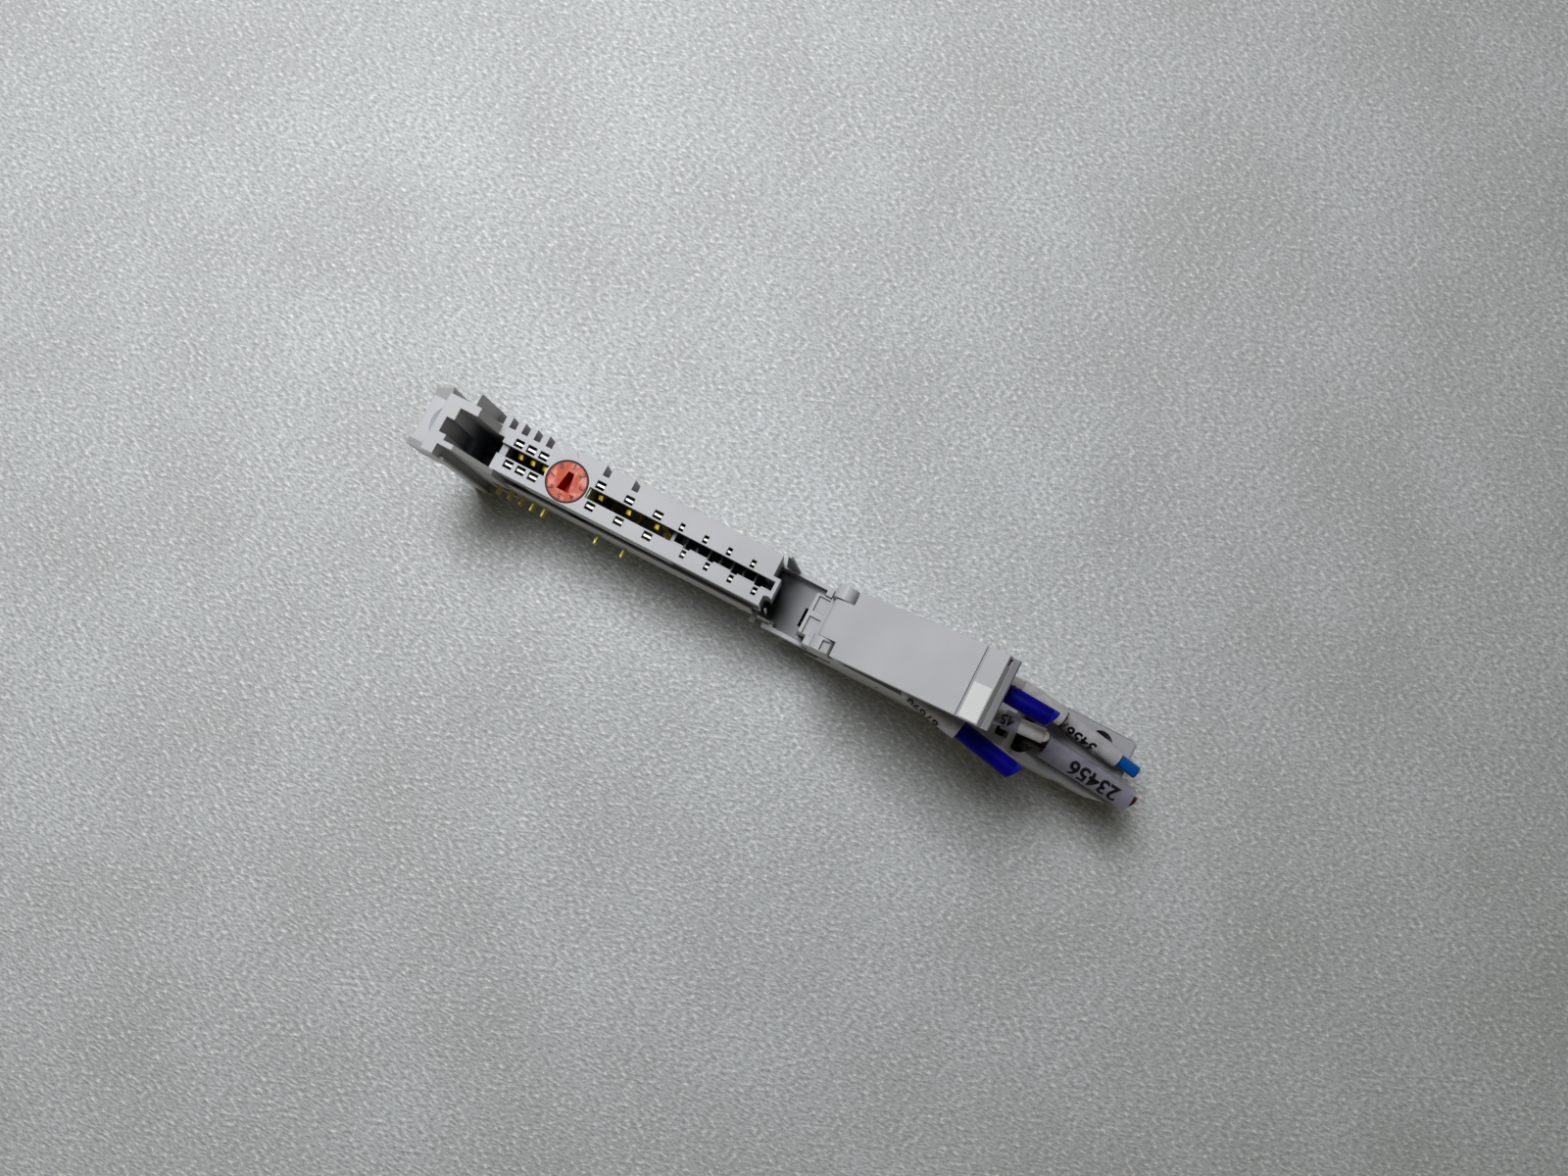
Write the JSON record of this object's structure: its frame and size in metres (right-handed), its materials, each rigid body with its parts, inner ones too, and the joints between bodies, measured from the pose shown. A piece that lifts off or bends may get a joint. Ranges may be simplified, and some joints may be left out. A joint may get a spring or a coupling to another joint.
{
  "type": "terminal base",
  "caption": "Slim rail-mounted terminal base with a slotted module face, key dial, lift-off wiring block with lever handle, and cut wire stubs.",
  "frame": {"origin": "middle of the rail, on the rail's front face, at mid width of the slice", "axes": "+X along the base to the wiring end, +Y along the rail, +Z away from the rail"},
  "size_m": [0.1382, 0.0178, 0.0451],
  "materials": {
    "housing": "fine matte moulded plastic, cool light grey",
    "dial_seat": "matte cream plastic",
    "key_dial": "matte orange-red plastic with dark numbers",
    "lock_screw": "matte dark grey plastic",
    "contact": "bright plated spring metal, gold at the noses and blades",
    "clamp": "plain spring steel",
    "conductor": "bare copper strands",
    "marker_label": "blank white strip",
    "wire_1_near": "dark blue insulation",
    "wire_1_far": "dark blue insulation",
    "wire_2_near": "white insulation",
    "wire_2_far": "grey insulation",
    "wire_3_near": "dark red insulation",
    "wire_3_far": "light blue insulation",
    "sleeve_1_near": "white marker tube",
    "sleeve_2_near": "clear marker tube",
    "sleeve_2_far": "clear marker tube over grey",
    "sleeve_3_near": "milky clear marker tube",
    "sleeve_3_far": "grey-white marker tube"
  },
  "bodies": {
    "base": {"base_housing": "housing", "side_cover": "housing", "dial_seat": "dial_seat", "address_in_contact": "contact", "address_out_contact": "contact", "bus_contact_1": "contact", "bus_contact_2": "contact", "bus_contact_3": "contact", "bus_contact_4": "contact", "ground_contact": "contact", "power_contact_1": "contact", "power_contact_2": "contact", "signal_contact_1": "contact", "signal_contact_2": "contact", "signal_contact_3": "contact", "signal_contact_4": "contact", "signal_contact_5": "contact", "signal_contact_6": "contact", "signal_contact_7": "contact", "signal_contact_8": "contact"},
    "dial": {"key_dial": "key_dial"},
    "latch": {"din_latch": "housing"},
    "screw": {"lock_screw": "lock_screw"},
    "block": {"block_housing": "housing", "block_floor": "housing", "clamp_bar_1": "clamp", "clamp_bar_2": "clamp", "clamp_bar_3": "clamp", "clamp_bar_4": "clamp", "clamp_bar_5": "clamp", "clamp_bar_6": "clamp", "clamp_bar_7": "clamp", "clamp_bar_8": "clamp", "clamp_spring_1": "clamp", "clamp_spring_2": "clamp", "clamp_spring_3": "clamp", "clamp_spring_4": "clamp", "clamp_spring_5": "clamp", "clamp_spring_6": "clamp", "clamp_spring_7": "clamp", "clamp_spring_8": "clamp", "core_1_far": "conductor", "core_1_near": "conductor", "sleeve_1_near": "sleeve_1_near", "sleeve_2_far": "sleeve_2_far", "sleeve_2_near": "sleeve_2_near", "sleeve_3_far": "sleeve_3_far", "sleeve_3_near": "sleeve_3_near", "wire_1_far": "wire_1_far", "wire_1_near": "wire_1_near", "wire_2_far": "wire_2_far", "wire_2_near": "wire_2_near", "wire_3_far": "wire_3_far", "wire_3_near": "wire_3_near"},
    "handle": {"block_handle": "housing", "marker_label": "marker_label"}
  },
  "joints": [
    {"name": "key_dial_turn", "type": "hinge", "parent": "base", "child": "dial", "pos_m": [-0.00848, 0.00028, 0.0215], "axis": [0, 0, 1], "continuous": true},
    {"name": "lock_screw_turn", "type": "hinge", "parent": "base", "child": "screw", "pos_m": [-0.0267, -0.00076, 0.0088], "axis": [0, 0, 1], "range_deg": [0, 90]},
    {"name": "rail_latch_slide", "type": "slide", "parent": "base", "child": "latch", "axis": [1, 0, 0], "range_m": [-0.0011, 0]},
    {"name": "block_swing", "type": "hinge", "parent": "base", "child": "block", "pos_m": [0.0954, 0, 0.002], "axis": [0, 1, 0], "range_deg": [0, 30]},
    {"name": "handle_swing", "type": "hinge", "parent": "block", "child": "handle", "pos_m": [0.0432, 0, 0.0231], "axis": [0, -1, 0], "range_deg": [0, 59]}
  ],
  "couplings": [
    {"joint": "lock_screw_turn", "follows": "rail_latch_slide", "rad_per_m": -1427}
  ]
}
